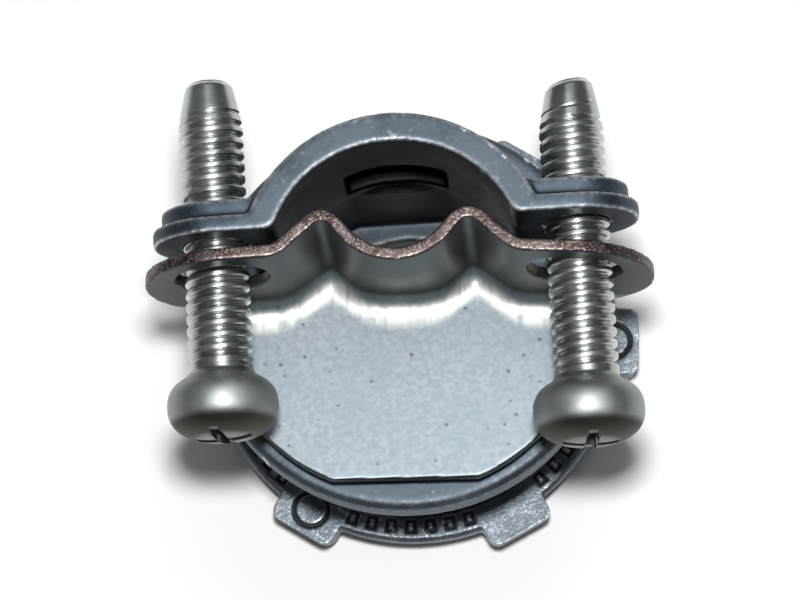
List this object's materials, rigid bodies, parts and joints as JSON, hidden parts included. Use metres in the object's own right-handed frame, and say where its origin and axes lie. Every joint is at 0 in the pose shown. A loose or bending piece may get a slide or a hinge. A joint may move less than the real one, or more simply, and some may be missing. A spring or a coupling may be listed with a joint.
{
  "type": "two-screw cable clamp connector",
  "caption": "Die-cast knockout connector with a threaded barrel and shoulder, an arched cable saddle, a bent steel clamp strap with shield, two clamp screws and a lugged locknut.",
  "frame": {"origin": "centre of the conductor opening at the barrel's end face, which is also the surface that the part stands on", "axes": "+Z along the barrel towards the cable clamp, +Y towards the arch's crown and the screw tips, +X to the right with the crown up"},
  "size_m": [0.0326, 0.0288, 0.0245],
  "materials": {
    "cast_zinc": "dull blue-grey die-cast zinc with soft edges",
    "zinc_plated_sheet": "bright zinc-plated sheet steel with rusty sheared edges",
    "plated_screw": "bright zinc-plated steel with a faint olive cast",
    "nut_zinc": "rough sparkling die-cast zinc"
  },
  "bodies": {
    "body": {"connector_body": "cast_zinc"},
    "strap": {"clamp_strap": "zinc_plated_sheet"},
    "left_screw": {"left_clamp_screw": "plated_screw"},
    "right_screw": {"right_clamp_screw": "plated_screw"},
    "nut": {"locknut": "nut_zinc"}
  },
  "joints": [
    {"name": "strap_slide", "type": "slide", "parent": "body", "child": "strap", "axis": [0, 1, 0], "range_m": [-0.0058, 0.0006]},
    {"name": "left_screw_turn", "type": "hinge", "parent": "body", "child": "left_screw", "pos_m": [-0.01155, 0, 0.0205], "axis": [0, 1, 0], "continuous": true},
    {"name": "right_screw_turn", "type": "hinge", "parent": "body", "child": "right_screw", "pos_m": [0.01155, 0, 0.0205], "axis": [0, 1, 0], "continuous": true},
    {"name": "locknut_turn", "type": "hinge", "parent": "body", "child": "nut", "pos_m": [0, 0, 0.0019], "axis": [0, 0, 1], "continuous": true}
  ]
}
